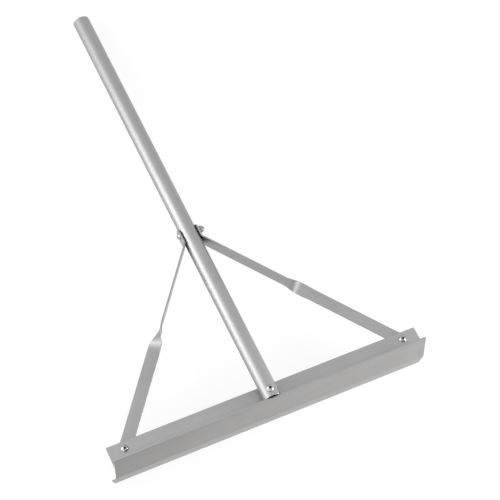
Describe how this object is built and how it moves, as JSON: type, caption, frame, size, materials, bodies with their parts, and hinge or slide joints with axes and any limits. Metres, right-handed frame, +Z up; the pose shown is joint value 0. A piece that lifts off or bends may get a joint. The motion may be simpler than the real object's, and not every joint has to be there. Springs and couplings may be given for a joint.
{
  "type": "asphalt rake",
  "caption": "Hand rake for spreading and levelling asphalt: a long aluminium blade bolted to a tube handle and held square by twisted flat-bar braces.",
  "frame": {"origin": "middle of the rake's footprint on the ground, lying on its back with the bolt heads up", "axes": "+X along the blade to its right end, +Y up the handle along the ground, +Z up"},
  "size_m": [0.65, 0.9808, 0.131],
  "materials": {
    "tube_aluminium": "satin",
    "blade_aluminium": "satin",
    "brace_aluminium": "satin",
    "fastener_steel": "bright plated",
    "nut_nylon": "matt"
  },
  "bodies": {
    "root": {"handle_tube": "tube_aluminium", "blade": "blade_aluminium", "left_brace": "brace_aluminium", "right_brace": "brace_aluminium", "left_blade_bolt": "fastener_steel", "left_blade_washer": "fastener_steel", "left_blade_nut": "fastener_steel", "left_blade_nut_insert": "nut_nylon", "right_blade_bolt": "fastener_steel", "right_blade_washer": "fastener_steel", "right_blade_nut": "fastener_steel", "right_blade_nut_insert": "nut_nylon", "foot_bolt": "fastener_steel", "foot_washer": "fastener_steel", "foot_nut": "fastener_steel", "foot_nut_insert": "nut_nylon", "cross_bolt": "fastener_steel", "cross_washer": "fastener_steel", "cross_nut": "fastener_steel", "cross_nut_insert": "nut_nylon"}
  },
  "joints": []
}
